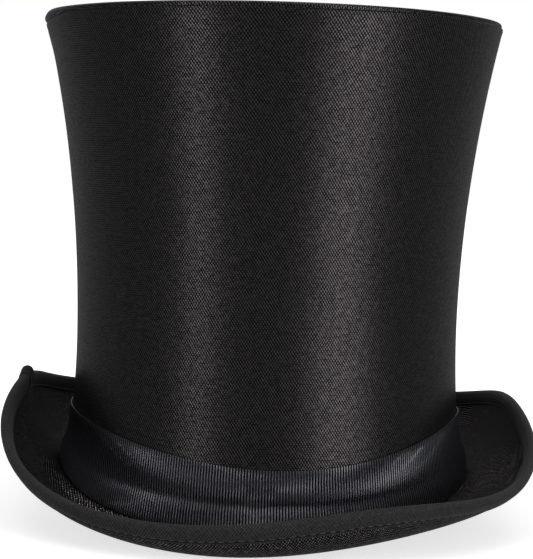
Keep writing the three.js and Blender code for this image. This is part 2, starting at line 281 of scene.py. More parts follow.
def finish_piece(piece, material, slot, *nodes):
    piece.data.materials.append(material)
    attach(piece, "root")
    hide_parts(*nodes)
    return piece


# ---- small helpers for materials -------------------------------------------------------


class Look:
    """A node material over the cloth's own coordinates, which are in mm as u and v."""

    def __init__(self, name, shader_values):
        self.material = bpy.data.materials.new(name)
        self.material.use_nodes = True
        self.tree = self.material.node_tree
        self.shader = self.tree.nodes["Principled BSDF"]
        for key, value in shader_values.items():
            self.shader.inputs[key].default_value = value

    def node(self, kind, **values):
        made = self.tree.nodes.new(kind)
        for key, value in values.items():
            setattr(made, key, value)
        return made

    def put(self, socket, value):
        if isinstance(value, bpy.types.NodeSocket):
            self.tree.links.new(value, socket)
        else:
            socket.default_value = value

    def math(self, operation, *values):
        made = self.node("ShaderNodeMath", operation=operation)
        for socket, value in zip(made.inputs, values):
            self.put(socket, value)
        return made.outputs[0]

    def cloth_mm(self):
        """The u and v sockets in mm."""
        uv = self.node("ShaderNodeUVMap", uv_map="cloth")
        split = self.node("ShaderNodeSeparateXYZ")
        self.put(split.inputs[0], uv.outputs[0])
        return [self.math("MULTIPLY", split.outputs[k], float(UV_UNIT)) for k in (0, 1)]

    def wave(self, distance, pitch, phase=0.0):
        """A sine from -1 to 1 that repeats every pitch mm."""
        turn = self.math("MULTIPLY_ADD", distance, 2 * math.pi / pitch, phase)
        return self.math("SINE", turn)

    def noise(self, scale, detail=2.0, stretch=(1, 1, 1), roughness=0.5):
        """Noise in the object's own space, from 0 to 1; scale is in features per metre."""
        place = self.node("ShaderNodeTexCoord")
        mapping = self.node("ShaderNodeMapping")
        mapping.inputs["Scale"].default_value = stretch
        self.put(mapping.inputs["Vector"], place.outputs["Object"])
        made = self.node("ShaderNodeTexNoise")
        self.put(made.inputs["Vector"], mapping.outputs[0])
        made.inputs["Scale"].default_value = scale
        made.inputs["Detail"].default_value = detail
        made.inputs["Roughness"].default_value = roughness
        return made.outputs["Fac"]

    def between(self, value, low, high, to_low, to_high):
        made = self.node("ShaderNodeMapRange")
        for socket, given in zip(made.inputs, (value, low, high, to_low, to_high)):
            self.put(socket, given)
        return made.outputs[0]

    def blend(self, factor, dark, light):
        made = self.node("ShaderNodeMix", data_type="RGBA")
        self.put(made.inputs["Factor"], factor)
        made.inputs["A"].default_value = (*dark, 1)
        made.inputs["B"].default_value = (*light, 1)
        return made.outputs["Result"]

    def color(self, value):
        self.put(self.shader.inputs["Base Color"], value)

    def roughness(self, value):
        self.put(self.shader.inputs["Roughness"], value)

    def relief(self, height, depth_mm, under=None):
        """Bumps of the given depth, over those already made."""
        made = self.node("ShaderNodeBump")
        made.inputs["Strength"].default_value = 1.0
        made.inputs["Distance"].default_value = depth_mm * MM
        self.put(made.inputs["Height"], height)
        if under is not None:
            self.put(made.inputs["Normal"], under)
        self.put(self.shader.inputs["Normal"], made.outputs[0])
        return made.outputs[0]


FLOAT_PITCH = 1.28  # mm from one float of the satin to the next
FLOAT_RISE = 1.86  # mm over which the rows of floats repeat


def satin_look(name, gloss=0.26, dot_depth=0.02, shine=(0.108, 0.095, 0.102), slubs=(420, 3.2),
               ground=-0.05, edge=1.0):
    """Satin: short floats in slanting rows that shine like polished yarn over a dull ground,
    with slubs, so many to the metre and so strong, and a slightly warm sheen. The dull
    ground takes up all that lies lower than the given height."""
    look = Look(name, {"Metallic": 0.9, "Specular IOR Level": 0.3,
                       "Specular Tint": (edge, edge, edge, 1)})
    u, v = look.cloth_mm()
    uneven = look.noise(140, 3)
    u = look.math("MULTIPLY_ADD", uneven, 0.9, u)
    v = look.math("MULTIPLY_ADD", uneven, -0.7, v)
    slant = look.math("MULTIPLY", v, FLOAT_PITCH / FLOAT_RISE)
    falling = look.wave(look.math("ADD", u, slant), FLOAT_PITCH)
    rising = look.wave(look.math("SUBTRACT", u, slant), FLOAT_PITCH)
    floats = look.math("MULTIPLY_ADD", rising, 0.7, falling)
    slub = look.math("SUBTRACT", look.noise(slubs[0], 3, (1, 1, 1.8), 0.7), 0.5)
    height = look.math("MULTIPLY", look.math("MULTIPLY_ADD", slub, slubs[1], floats), 0.58)
    shade = look.between(height, ground, ground + 0.6, 0, 1)
    look.color(look.blend(shade, (0.010, 0.0105, 0.0105), shine))
    look.roughness(look.between(height, -0.5, 0.6, gloss + 0.25, gloss))
    look.relief(height, dot_depth)
    return look.material


def band_look():
    """Grosgrain: cords across the band over the modelled ribs. Its colour is lighter on the rib crests
    and darker in the grooves, as painted highlight and painted shade, with random fibre tone mixed in.
    """
    look = Look("grosgrain", {"Metallic": 0.85, "Specular IOR Level": 0.3})
    u, v = look.cloth_mm()
    rib = look.wave(u, RIB_PITCH, math.pi / 2)
    yarn = look.wave(v, 0.55)
    fibre = look.noise(900, 3)
    shine = look.math("MULTIPLY_ADD", look.math("SUBTRACT", fibre, 0.5), 1.2, rib)
    lit = look.between(shine, -0.4, 0.9, 0, 1)
    # Painted highlight on the rib crests and painted shade in the grooves, in step with the modelled
    # ribs, with random fibre tone.
    look.color(look.blend(lit, (0.006, 0.006, 0.009), (0.168, 0.168, 0.19)))
    look.roughness(look.between(shine, -0.8, 0.9, 0.5, 0.28))
    look.relief(look.math("MULTIPLY_ADD", fibre, 0.8, yarn), 0.012)
    return look.material


def binding_look():
    """Matte bias binding: fine slanting ribs with a little fuzz, and painted shade along its two stitch
    lines, where its modelled grooves lie.
    """
    look = Look("binding_cloth", {"Metallic": 0.6, "Specular IOR Level": 0.3,
                                  "Sheen Weight": 0.1, "Sheen Roughness": 0.5})
    u, v = look.cloth_mm()
    rib = look.wave(look.math("ADD", u, v), 1.3)
    cross = look.wave(look.math("SUBTRACT", u, v), 1.7)
    fuzz = look.noise(800, 3, roughness=0.7)
    weave = look.math("MULTIPLY_ADD", cross, 0.4, rib)
    tone = look.between(look.math("MULTIPLY_ADD", fuzz, 5.0, weave), 0.6, 4.6, 0, 1)
    # Painted shade: the colour is darkened along the two stitch lines, in the binding's modelled grooves.
    side = look.math("ABSOLUTE", look.math("SUBTRACT", v, BINDING_WIDTH / 2))
    from_stitches = look.math("ABSOLUTE", look.math("SUBTRACT", side, BINDING_WIDTH / 2 - STITCHES_IN))
    tone = look.math("MULTIPLY", tone, look.between(from_stitches, 0.15, 0.55, 0.05, 1))
    look.color(look.blend(tone, (0.005, 0.005, 0.0052), (0.080, 0.076, 0.079)))
    look.roughness(look.between(look.noise(60, 3), 0.3, 0.7, 0.66, 0.8))
    look.relief(look.math("MULTIPLY_ADD", fuzz, 1.2, weave), 0.04)
    return look.material


def lining_look():
    """Thin lining taffeta: a plain weave, smoother than the satin, with soft creases."""
    look = Look("lining", {"Specular IOR Level": 0.4, "Sheen Weight": 0.1})
    u, v = look.cloth_mm()
    weave = look.math("MULTIPLY", look.wave(u, 0.7), look.wave(v, 0.7))
    crease = look.noise(30, 4, (1, 1, 0.35))
    look.color(look.blend(look.between(weave, -1, 1, 0, 1), (0.012, 0.012, 0.014), (0.026, 0.026, 0.03)))
    look.roughness(look.between(crease, 0.3, 0.7, 0.36, 0.48))
    fine = look.relief(weave, 0.02)
    look.relief(crease, 0.9, fine)
    return look.material


def sweatband_look():
    """The sweatband: a close, matte woven tape with a slight herringbone."""
    look = Look("sweatband_cloth", {"Specular IOR Level": 0.3, "Sheen Weight": 0.15})
    u, v = look.cloth_mm()
    zigzag = look.math("PINGPONG", v, 3.0)
    bone = look.wave(look.math("ADD", u, zigzag), 1.3)
    fuzz = look.noise(1300, 3)
    look.color(look.blend(look.between(bone, -1, 1, 0, 1), (0.014, 0.014, 0.015), (0.03, 0.03, 0.031)))
    look.roughness(look.between(fuzz, 0.3, 0.7, 0.68, 0.84))
    look.relief(look.math("MULTIPLY_ADD", fuzz, 0.7, bone), 0.05)
    return look.material


def thread_look():
    """Twisted sewing thread."""
    look = Look("thread", {"Specular IOR Level": 0.5})
    twist = look.noise(1800, 1, (1, 1, 3))
    lit = look.between(twist, 0.35, 0.65, 0, 1)
    look.color(look.blend(lit, (0.025, 0.025, 0.026), (0.09, 0.09, 0.092)))
    look.roughness(look.between(twist, 0.3, 0.7, 0.4, 0.6))
    look.relief(twist, 0.05)
    return look.material


def stiff_look(name, dark, light, grid_mm=1.6):
    """Buckram or board: an open sized weave, or pressed fibre."""
    look = Look(name, {"Specular IOR Level": 0.25})
    fibre = look.noise(1000 / grid_mm, 4)
    cloud = look.noise(60, 3)
    look.color(look.blend(look.between(look.math("ADD", fibre, cloud), 0.7, 1.3, 0, 1), dark, light))
    look.roughness(look.between(fibre, 0.3, 0.7, 0.85, 0.95))
    look.relief(fibre, 0.15)
    return look.material


def wire_look():
    """Drawn steel wire with a thin lacquer."""
    look = Look("wire", {"Metallic": 1.0, "Specular IOR Level": 0.5})
    drawn = look.noise(900, 2, (1, 1, 6))
    look.color(look.blend(drawn, (0.42, 0.43, 0.44), (0.62, 0.62, 0.63)))
    look.roughness(look.between(drawn, 0.3, 0.7, 0.3, 0.42))
    look.relief(drawn, 0.02)
    return look.material


def reed_look():
    """Moulded black plastic cord."""
    look = Look("reed", {"Specular IOR Level": 0.5})
    streak = look.noise(700, 2)
    look.color(look.blend(streak, (0.012, 0.012, 0.013), (0.022, 0.022, 0.023)))
    look.roughness(look.between(streak, 0.3, 0.7, 0.38, 0.5))
    look.relief(streak, 0.02)
    return look.material


satin = satin_look("satin")
# A copy of the satin for the brim whose floats are about four times as bright as the crown's: painted
# glints and sheen on the brim, over more dull ground and with a weaker grazing reflection.
brim_satin_painted_glints = satin_look("brim_satin_painted_glints", gloss=0.24, dot_depth=0.12, shine=(0.42, 0.358, 0.389),
                        slubs=(600, 5), ground=0.18, edge=0.6)
grosgrain = band_look()
binding_cloth = binding_look()
lining_cloth = lining_look()
sweat_cloth = sweatband_look()
thread = thread_look()
buckram = stiff_look("buckram", (0.02, 0.019, 0.017), (0.06, 0.056, 0.05))
tip_board = stiff_look("tip_board", (0.06, 0.052, 0.042), (0.11, 0.098, 0.08), grid_mm=0.8)
wire = wire_look()
reed_plastic = reed_look()

# ---- crown -----------------------------------------------------------------------------
CROWN_COLUMNS = 480
TIP_ROLL_ROWS = 26  # rows of the tip's satin that go over the rolled edge


def rim_place(along):
    """Inset and depth below the top, on the line that goes up the wall, over the rounded
    corner and inwards over the tip. along is 0 where the corner starts."""
    quarter = CORNER * math.pi / 2
    turn = np.clip(along, 0, quarter) / CORNER
    inset = CORNER * (1 - np.cos(turn)) + np.clip(along - quarter, 0, None)
    depth = CORNER * (1 - np.sin(turn)) + np.clip(-along, 0, None)
    return inset, depth


def rim_point(a, along, lift):
    """A point on that line, lifted off it."""
    inset, depth = rim_place(along)
    turn = np.clip(along, 0, CORNER * math.pi / 2) / CORNER
    return on_wall(a, CROWN_TOP - depth + lift * np.sin(turn), inset - lift * np.cos(turn))


def tip_seam(a):
    """Where the tip's turned-down edge is sewn to the side, along the line over the rim: it
    rides high at the front and comes lowest on the wearer's right."""
    low = 3.4 * near(a, TIP_SEAM_LOW_AT, 0.5)
    return 2.1 - low + 0.55 * ripple(a, 0, 5, 9, 1)


def tip_swell(a):
    """How much the cloth swells at both sides of the tip's seam, most on the wearer's right."""
    return 0.9 * near(a, TIP_SEAM_LOW_AT, 0.45)


def seam_fold(away, a, seed):
    """The groove at a seam and the small puckers beside it, for a distance away from it."""
    pucker = 0.06 * ripple(a, 0, seed, 90, 1, 12) * np.exp(-np.abs(away) / 4)
    return -0.5 * bump(away, 0, 0.45) + 0.16 * bump(away, 1.3, 0.9) + pucker


def back_seam(a, half):
    """The crown's upright seam at the back: a narrow groove between two slight swells."""
    away = np.angle(np.exp(1j * (a - BACK_SEAM_AT))) * half
    return -0.55 * bump(away, 0, 0.5) + 0.2 * (bump(away, 1.8, 1.3) + bump(away, -1.8, 1.3))


def crown_uv(a_count, rows_v, half):
    a = seam_angles(a_count)
    v = np.concatenate([rows_v, rows_v[:1]]) if rows_v.shape[0] > 1 else rows_v + 0 * a
    return np.stack([around_oval(a, half) + 0 * v, v], -1)


def make_side_cover():
    """The satin of the crown's side, from the brim up to the seam under the tip."""
    a = angles(CROWN_COLUMNS)
    t = np.linspace(0, 1, 190)[None, :]
    start = wall_foot(a)
    seam = tip_seam(a)
    length = CROWN_TOP - CORNER - start + seam
    along = seam - length * (1 - t ** 0.85)
    z = CROWN_TOP - rim_place(along)[1]
    lift = 0.22 * ripple(a, z, 11, 5, 90) + 0.08 * ripple(a, z, 12, 14, 45)
    lift = lift * smooth(z, 15, 60) + back_seam(a, WAIST_HALF + 5)
    lift = lift + seam_fold(seam - along, a, 13) + tip_swell(a) * bump(seam - along, 1.5, 9)
    outer = rim_point(a, along, lift)
    inner = rim_point(a, along, np.minimum(lift, 0.1) - COVER)
    return solid("crown_side_satin", outer, inner, crown_uv(CROWN_COLUMNS, z + 0 * a, WAIST_HALF))


def make_tip_cover():
    """The satin of the tip: flat on top, rolled over the edge and sewn down."""
    a = angles(CROWN_COLUMNS)
    seam = tip_seam(a)
    quarter = CORNER * math.pi / 2
    t = np.linspace(0, 1, TIP_ROLL_ROWS)[None, :]
    rolled = seam + 0.15 + (quarter + 2 - seam) * t
    lift = seam_fold(rolled - seam - 0.2, a, 14)
    lift = lift + 0.18 * bump(rolled - seam, 1.6, 1.0) + tip_swell(a)
    edge_outer = rim_point(a, rolled, lift)
    edge_inner = rim_point(a, rolled, np.minimum(lift, 0.05) - COVER)
    inwards = np.linspace(0.04, 1, 44)[None, :, None]
    middle = np.array([0, 0, CROWN_TOP])
    rim = edge_outer[:, -1:]
    flat = rim + (middle - rim) * inwards
    flat[..., 2] += 0.12 * ripple(a, flat[..., 0], 15, 3, 70) * np.sin(math.pi * inwards[..., 0])
    outer = np.concatenate([edge_outer, flat], 1)
    inner = np.concatenate([edge_inner, flat - [0, 0, COVER]], 1)
    plan = outer[..., :2].copy()
    away = np.concatenate([np.cos(a), np.sin(a)], 1)[:, None]
    plan[:, :TIP_ROLL_ROWS] = rim[..., :2] + away * (rolled[:, -1:] - rolled)[..., None]
    return solid("crown_tip_satin", outer, inner, np.concatenate([plan, plan[:1]]), pole=True)


def make_side_lining():
    """The lining inside the crown, with soft upright creases."""
    a = angles(300)
    rise = np.linspace(0, 1, 90)[None, :]
    z = base_height(a) + LINING_FOOT + (LINING_TOP - base_height(a) - LINING_FOOT) * rise
    crease = 0.5 + 0.5 * ripple(a, z, 21, 26, 160, 14)
    inset = LINING_IN + 1.1 * crease * smooth(z, 20, 60) * smooth(LINING_TOP - z, 0, 25)
    outer, inner = on_wall(a, z, inset), on_wall(a, z, inset + LINING)
    return solid("crown_side_lining_cloth", outer, inner, crown_uv(300, z, WAIST_HALF))


def make_tip_lining():
    """The lining under the tip, slack enough to belly a little."""
    a = angles(240)
    rim = on_wall(a, CROWN_TOP - 4.5, LINING_IN - 0.3 + 0 * a)
    inwards = np.linspace(0, 1, 50)[None, :, None]
    middle = np.array([0, 0, CROWN_TOP - 4.3])
    top = rim + (middle - rim) * inwards
    slack = 0.6 + 0.4 * ripple(a, 60 * inwards[..., 0], 22, 9, 40)
    top[..., 2] -= 0.9 * np.sin(math.pi * inwards[..., 0]) ** 2 * slack
    plan = np.concatenate([top, top[:1]])[..., :2]
    return solid("crown_tip_lining_cloth", top, top - [0, 0, LINING], plan, pole=True)


# ---- brim ------------------------------------------------------------------------------
BRIM_COLUMNS = 960
BRIM_STEPS = 240  # steps in which a brim line is added up
BINDING_ROWS = 61
FOLD_SHARE = 0.45  # of the binding's half rows, those that go round the brim's edge


def brim_frame(a, u):
    """Distance, position across and up, and slope of the brim's middle surface. u is 0 at the
    root and 1 at the edge, and below 0 it runs straight on to the head opening."""
    width, start, finish, curl = brim_shape(a)
    steps = np.linspace(0, 1, BRIM_STEPS + 1)[None, :]
    slopes = start + (finish - start) * steps ** curl
    stride = width / BRIM_STEPS
    middle_cos = (np.cos(slopes[:, 1:]) + np.cos(slopes[:, :-1])) / 2 * stride
    middle_sin = (np.sin(slopes[:, 1:]) + np.sin(slopes[:, :-1])) / 2 * stride
    out = np.concatenate([0 * a, np.cumsum(middle_cos, 1)], 1)
    up = np.concatenate([0 * a, np.cumsum(middle_sin, 1)], 1)
    at = np.clip(u, 0, 1) * BRIM_STEPS
    low = np.minimum(at.astype(int), BRIM_STEPS - 1)
    part = at - low
    rows = np.arange(len(a))[:, None]

    def pick(grid):
        return grid[rows, low] * (1 - part) + grid[rows, low + 1] * part

    slope = pick(slopes + 0 * a)
    past = np.where(u < 0, u, np.clip(u - 1, 0, None)) * width
    return u * width, pick(out) + past * np.cos(slope), pick(up) + past * np.sin(slope), slope, width


def brim_point(a, u, lift):
    """A point on the brim, lifted off its middle surface."""
    _, out, up, slope, _ = brim_frame(a, u)
    away = np.stack([np.cos(a) / ROOT_HALF, np.sin(a) / (ROOT_HALF + OVAL_EXTRA), 0 * a], -1)
    away = away / np.linalg.norm(away, axis=-1, keepdims=True)
    root = on_oval(a, ROOT_HALF, base_height(a))
    point = root + away * (out - lift * np.sin(slope))[..., None]
    point[..., 2] += up + lift * np.cos(slope)
    return point


def brim_flat(a, u):
    """Where a point of the brim lies on the flat cloth that it was cut from."""
    half = ROOT_HALF + brim_frame(a, u)[0]
    return np.stack([half * np.cos(a), (half + OVAL_EXTRA) * np.sin(a)], -1)


def brim_width(a):
    return brim_frame(a, 0 * a)[4]


def brim_unevenness(a, u):
    """The brim's slight waves, which both of its faces share and its edge follows."""
    return 0.35 * ripple(a, 60 * u, 31, 7, 60) * smooth(u, 0.15, 0.8)


def make_brim_cover(name, face):
    """The satin on one face of the brim: face is 1 for the upper side and -1 for the under."""
    a = angles(BRIM_COLUMNS)
    last = 1 - BRIM_SHORT / brim_width(a)
    first = -BRIM_INNER / brim_width(a)
    u = first + (last - first) * np.linspace(0, 1, 90)[None, :]
    wave = brim_unevenness(a, u)
    hem = 0.12 * bump(u, BINDING_HEM - 0.03, 0.02) * ripple(a, 0, 32, 120, 1, 14)
    if face > 0:
        pucker = np.sin(200 * a + 50 * u + 2.5 * ripple(a, 0, 33, 40, 1))
        hem = hem + 0.85 * pucker * near(a, PUCKERS_AT, 0.34) * bump(u, 0.2, 0.14)
    outer = brim_point(a, u, face * (BRIM_HALF + hem) + wave)
    inner = brim_point(a, u, face * (BRIM_HALF - BRIM_COVER) + wave)
    closed_u = np.concatenate([u, u[:1]])
    return solid(name, outer, inner, brim_flat(seam_angles(BRIM_COLUMNS), closed_u))


def join_peak(a):
    """How far the binding's folded end stands past the brim's edge, at its join."""
    return 2.6 * near(a, BINDING_JOIN_AT, 0.028)


def binding_section(a, grow, extra=0.0):
    """Points of the binding across its fold, from its upper hem to its under hem, as distance
    along the brim's line and lift off its middle surface."""
    width = brim_width(a)
    flat = BRIM_HALF + BINDING_OFF + extra + grow
    peak = join_peak(a) + extra
    wrap = np.linspace(-1, 1, BINDING_ROWS)[None, :]
    straight = np.clip(np.abs(wrap) - FOLD_SHARE, 0, None) / (1 - FOLD_SHARE)
    turn = np.clip(np.abs(wrap) / FOLD_SHARE, 0, 1) * math.pi / 2
    nose = width + BINDING_TIP - BINDING + grow + peak - flat
    s = nose + flat * np.cos(turn)
    s = s + (width * BINDING_HEM - nose) * straight
    soft = 0.3 * bump(straight, 0.3, 0.35) - 0.34 * bump(straight, 0.78, 0.07)
    soft = soft + 0.1 * bump(straight, 0.93, 0.05)
    lift = -np.sign(wrap) * np.sin(turn) * (flat + np.where(grow > 0, soft, 0))
    return s, lift, width


def binding_grid(a, grow, extra=0.0):
    s, lift, width = binding_section(a, grow, extra)
    u = s / width
    hem_wave = 0.25 * ripple(a, 0, 41, 60, 1, 14)
    u = u + np.where(np.abs(u - BINDING_HEM) < 0.03, hem_wave / width, 0)
    return brim_point(a, u, lift + brim_unevenness(a, u))


def binding_uv(a):
    across = np.linspace(0, BINDING_WIDTH, BINDING_ROWS)[None, :]
    return np.stack([around_oval(a, ROOT_HALF + 40) + 0 * across, across + 0 * a], -1)


def make_binding():
    a = angles(BRIM_COLUMNS)
    uv = binding_uv(seam_angles(BRIM_COLUMNS))
    return solid("brim_binding_cloth", binding_grid(a, BINDING), binding_grid(a, 0.0), uv)


def make_binding_join():
    """The end of the binding, folded under and lapped over the start."""
    a = angles(40, BINDING_JOIN_AT - BINDING_LAP_TURN / 2, BINDING_LAP_TURN, closed=False)
    over = 0.55
    return solid("brim_binding_lap", binding_grid(a, BINDING, over), binding_grid(a, 0.0, over),
                 binding_uv(a), closed=False)


# ---- stitches --------------------------------------------------------------------------
STITCH_SIDES = 6
STITCH_RINGS = 6


def stitches(name, path, normals, length, gap, radius):
    """Separate stitches of thread along a closed path in mm, each a low arch whose two ends
    go into the cloth. normals point out of the cloth, one for each point of the path."""
    steps = np.linalg.norm(np.diff(np.concatenate([path, path[:1]]), axis=0), axis=1)
    reach = np.concatenate([[0], np.cumsum(steps)])
    count = int(reach[-1] // (length + gap))
    pitch = reach[-1] / count
    looped, looped_normals = np.concatenate([path, path[:1]]), np.concatenate([normals, normals[:1]])

    def along(grid, at, period=None):
        return np.array([np.interp(at, reach, grid[:, k], period=period) for k in range(3)])

    ring = np.linspace(0, 2 * math.pi, STITCH_SIDES + 1)[:-1]
    points, faces = [], []
    for i in range(count):
        rings = []
        for t in np.linspace(0, 1, STITCH_RINGS):
            at = i * pitch + t * length
            middle, up = along(looped, at), along(looped_normals, at)
            ahead = along(looped, at + 0.3, reach[-1]) - middle
            across = np.cross(ahead, up)
            across /= max(np.linalg.norm(across), 1e-9)
            arch = (math.sin(math.pi * t) ** 0.6) * radius * 0.9 - radius * 0.35
            size = radius * (0.55 + 0.45 * math.sin(math.pi * t))
            rings.append([middle + up * (arch + size * math.sin(r)) + across * size * math.cos(r)
                          for r in ring])
        start = len(points)
        points += [p for one in rings for p in one]
        last = start + (STITCH_RINGS - 1) * STITCH_SIDES
        for low in range(start, last, STITCH_SIDES):
            high = low + STITCH_SIDES
            for k in range(STITCH_SIDES):
                n = (k + 1) % STITCH_SIDES
                faces.append([low + k, low + n, high + n, high + k])
        faces.append([start + k for k in reversed(range(STITCH_SIDES))])
        faces.append([last + k for k in range(STITCH_SIDES)])
    mesh = bpy.data.meshes.new(name)
    mesh.from_pydata((np.array(points) * MM + ORIGIN).tolist(), [], faces)
    mesh.polygons.foreach_set("use_smooth", [True] * len(mesh.polygons))
    piece = bpy.data.objects.new(name, mesh)
    bpy.context.scene.collection.objects.link(piece)
    return piece


def surface_path(point_at, count=900):
    """A closed path and its outward directions, from a function of the angles and a lift."""
    a = angles(count)
    low, high = point_at(a, 0.0)[:, 0], point_at(a, 0.5)[:, 0]
    out = high - low
    return low, out / np.linalg.norm(out, axis=1, keepdims=True)


def make_binding_stitches(name, face):
    def point_at(a, lift):
        u = BINDING_HEM + BINDING_STITCH_IN / brim_width(a)
        height = BRIM_HALF + BINDING_OFF + BINDING - 0.26 + lift
        return brim_point(a, u, face * height + brim_unevenness(a, u))
    return stitches(name, *surface_path(point_at), length=2.9, gap=1.1, radius=0.3)


def make_sweatband_stitches():
    def point_at(a, lift):
        return on_wall(a, base_height(a) + 5.2, SWEATBAND_IN + SWEATBAND + lift)
    return stitches("sweatband_stitches", *surface_path(point_at), length=3.2, gap=1.2, radius=0.2)


def make_tip_stitches():
    """Small stitches that show between the tip and the side."""
    def point_at(a, lift):
        return rim_point(a, tip_seam(a) + 0.05, lift - 0.42)
    return stitches("tip_seam_stitches", *surface_path(point_at, 1500), length=1.6, gap=1.1, radius=0.14)


# ---- hat band --------------------------------------------------------------------------
BAND_COLUMNS = RIBS * 6
BAND_ROWS = 30


def band_top(a):
    return BAND_TOP - BAND_TOP_DIP * np.sin(a) ** 2 + BAND_TOP_LEAN * quarters(a)[0]


def band_foot(a):
    start = brim_shape(a)[1]
    return base_height(a) + BRIM_HALF / np.cos(start) + BAND_REACH * np.tan(start) + BAND_CLEAR


def band_shape(a, row):
    """How far the band stands off the crown: flared at its foot, creased softly along its
    middle, and slack in a few places."""
    off = BAND_OFF_FOOT + (BAND_OFF_TOP - BAND_OFF_FOOT) * (1 - (1 - row) ** 2)
    depth = 0.65 + 0.5 * ripple(a, 0, 51, 5, 1)
    crease = 0.3 * bump(row, 0.62, 0.14) - 0.75 * bump(row, 0.4, 0.075) * depth
    slack = 0.35 * ripple(a, BAND_WIDTH * row, 52, 11, 50) * (1.1 - row)
    dimple = -1.1 * near(a, BAND_FRONT_AT, 0.06) * bump(row, 0.6, 0.25)
    side = np.cos(a) ** 6
    fold = side * (0.8 * bump(row, 0.24, 0.13) - 0.5 * bump(row, 0.58, 0.2))
    return np.maximum(off + crease * (1 - side) + slack + dimple + fold, 0.35)


def rib_lean(a, row):
    """How far around the hat the ribs lean by this row: at the front they slant a little, and
    bow where the band is creased."""
    front = near(a, BAND_FRONT_AT, 0.75)
    return -0.035 * front * (row - 0.4) + 0.004 * front * bump(row, 0.4, 0.2)


def band_grid(a, row, lift, ribs):
    """Points of the band, with its ribs and its thin selvedges."""
    edge_wave = 0.35 * ripple(a, 0, 53, 9, 1) * (1 - row)
    z = band_foot(a) + (band_top(a) - band_foot(a)) * row + edge_wave
    inside = smooth(row * BAND_WIDTH, 0.3, 1.2) * smooth((1 - row) * BAND_WIDTH, 0.5, 1.5)
    crest = np.abs(np.cos((a + rib_lean(a, row)) * RIBS / 2)) ** 0.8
    rib = ribs * (0.24 * crest * inside + 0.14 * bump((1 - row) * BAND_WIDTH, 0.45, 0.35))
    return on_wall(a, z, -(band_shape(a, row) + lift + rib))


def band_uv(a, row):
    return np.stack([a * RIBS * RIB_PITCH / (2 * math.pi) + 0 * row, BAND_WIDTH * row + 0 * a], -1)


def make_band():
    a = angles(BAND_COLUMNS)
    row = np.linspace(0, 1, BAND_ROWS)[None, :]
    uv = band_uv(seam_angles(BAND_COLUMNS), row)
    return solid("hat_band_ribbon", band_grid(a, row, BAND - 0.2, 1), band_grid(a, row, 0, 0), uv)


def make_band_lap():
    """The band's end, turned under and lapped over its start at the back."""
    a = angles(110, BACK_SEAM_AT, BACK_LAP_TURN, closed=False)
    row = np.linspace(0.01, 0.99, BAND_ROWS)[None, :]
    ends = 0.35 * (near(a, BACK_SEAM_AT, 0.006) + near(a, BACK_SEAM_AT + BACK_LAP_TURN, 0.006))
    return solid("hat_band_lap_ribbon", band_grid(a, row, 2 * BAND + 0.1 - ends, 1),
                 band_grid(a, row, BAND + 0.15 - ends, 0), band_uv(a, row), closed=False)


def make_band_tack():
    """A short row of stitches that holds the lapped end down."""
    row = np.linspace(0.08, 0.92, 60)[:, None]
    a = np.full_like(row, BACK_SEAM_AT + 0.012)
    low = band_grid(a, row, 2 * BAND + 0.12, 1)[:, 0]
    out = on_oval(a, 1.0, 0 * a)[:, 0] * [1, 1, 0]
    out /= np.linalg.norm(out, axis=1, keepdims=True)
    there_and_back = np.concatenate([low, low[::-1] - out * 0.8])
    return stitches("hat_band_tack_stitches", there_and_back, np.concatenate([out, out]),
                    length=1.7, gap=1.3, radius=0.17)


# ---- sweatband -------------------------------------------------------------------------
SWEATBAND_COLUMNS = 360
REED_R = 0.7


def sweatband_inset(a, row):
    """The sweatband's own shape: its top edge leans in a little, and its face is slack."""
    slack = 0.35 * (0.5 + 0.5 * ripple(a, SWEATBAND_HEIGHT * row, 61, 12, 70))
    return SWEATBAND_IN + slack + 0.8 * smooth(row, 0.6, 1)


def sweatband_uv(a, row):
    return np.stack([around_oval(a, WAIST_HALF) + 0 * row, SWEATBAND_HEIGHT * row + 0 * a], -1)


def make_sweatband():
    a = angles(SWEATBAND_COLUMNS)
    row = np.linspace(0, 1, 40)[None, :]
    z = base_height(a) + SWEATBAND_FOOT + (SWEATBAND_HEIGHT - SWEATBAND_FOOT) * row
    inset = sweatband_inset(a, row)
    bead = 0.35 * (bump(row, 0.02, 0.03) + bump(row, 0.985, 0.02)) - 0.2 * bump(row, 0.165, 0.012)
    uv = sweatband_uv(seam_angles(SWEATBAND_COLUMNS), row)
    return solid("sweatband_tape", on_wall(a, z, inset), on_wall(a, z, inset + SWEATBAND + bead), uv)


def make_sweatband_patch():
    """The tape over the join of the sweatband, with its two pinked ends."""
    a = angles(40, BACK_SEAM_AT, BACK_LAP_TURN, closed=False)
    row = np.linspace(0.2, 0.96, 40)[None, :]
    z = base_height(a) + SWEATBAND_HEIGHT * row + 0.25 * np.sin(a * 900)
    inset = sweatband_inset(a, row) + SWEATBAND + 0.15
    return solid("sweatband_join_patch", on_wall(a, z, inset), on_wall(a, z, inset + 0.6),
                 sweatband_uv(a, row), closed=False)


def make_reed():
    """The cord along the sweatband's foot, round in section."""
    a = angles(SWEATBAND_COLUMNS)
    turn = np.linspace(0, math.pi, 9)[None, :]
    z = base_height(a) + SWEATBAND_FOOT - 1.0
    middle = SWEATBAND_IN + SWEATBAND / 2
    far = on_wall(a, z + REED_R * np.cos(turn), middle + REED_R * np.sin(turn))
    close = on_wall(a, z + REED_R * np.cos(turn), middle - REED_R * np.sin(turn))
    around = seam_angles(SWEATBAND_COLUMNS)
    uv = np.stack([around_oval(around, WAIST_HALF) + 0 * turn, turn + 0 * around], -1)
    return solid("sweatband_reed_cord", close, far, uv, pole=True)


# ---- put the pieces in -----------------------------------------------------------------


